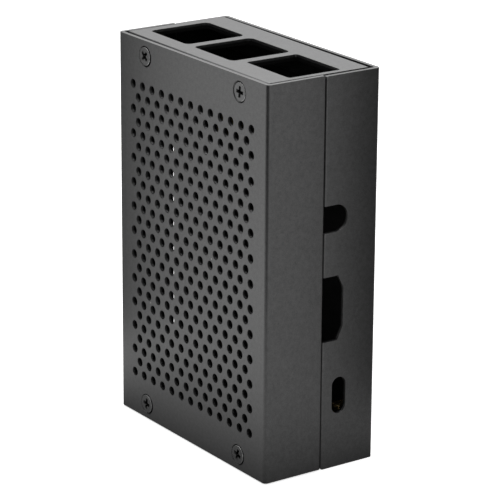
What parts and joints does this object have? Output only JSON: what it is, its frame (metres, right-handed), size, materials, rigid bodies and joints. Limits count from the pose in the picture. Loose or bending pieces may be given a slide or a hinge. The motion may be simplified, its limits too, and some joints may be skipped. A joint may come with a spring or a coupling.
{
  "type": "single board computer case",
  "caption": "Two-part folded aluminium case with a perforated front cover, port cut-outs and standoffs, for a credit-card sized single board computer.",
  "frame": {"origin": "middle of the base of the case, which stands on its card end", "axes": "+Z runs along the case towards the plug sockets, -Y faces the perforated front, +X faces the port side"},
  "size_m": [0.0608, 0.0308, 0.094],
  "materials": {
    "anodised_cover": "matt black, fine blasted grain",
    "anodised_end_plate": "matt black, fine blasted grain",
    "black_screw": "satin black",
    "brass_standoff": "plain turned"
  },
  "bodies": {
    "root": {"front_cover": "anodised_cover", "rear_cover": "anodised_cover", "socket_end_plate": "anodised_end_plate", "card_end_plate": "anodised_end_plate", "front_screw_upper_left": "black_screw", "front_screw_upper_right": "black_screw", "front_screw_lower_left": "black_screw", "front_screw_lower_right": "black_screw", "rear_screw_upper_left": "black_screw", "rear_screw_upper_right": "black_screw", "rear_screw_lower_left": "black_screw", "rear_screw_lower_right": "black_screw", "board_standoff_upper_left": "brass_standoff", "board_standoff_upper_right": "brass_standoff", "board_standoff_lower_left": "brass_standoff", "board_standoff_lower_right": "brass_standoff", "standoff_screw_upper_left": "black_screw", "standoff_screw_upper_right": "black_screw", "standoff_screw_lower_left": "black_screw", "standoff_screw_lower_right": "black_screw"}
  },
  "joints": []
}
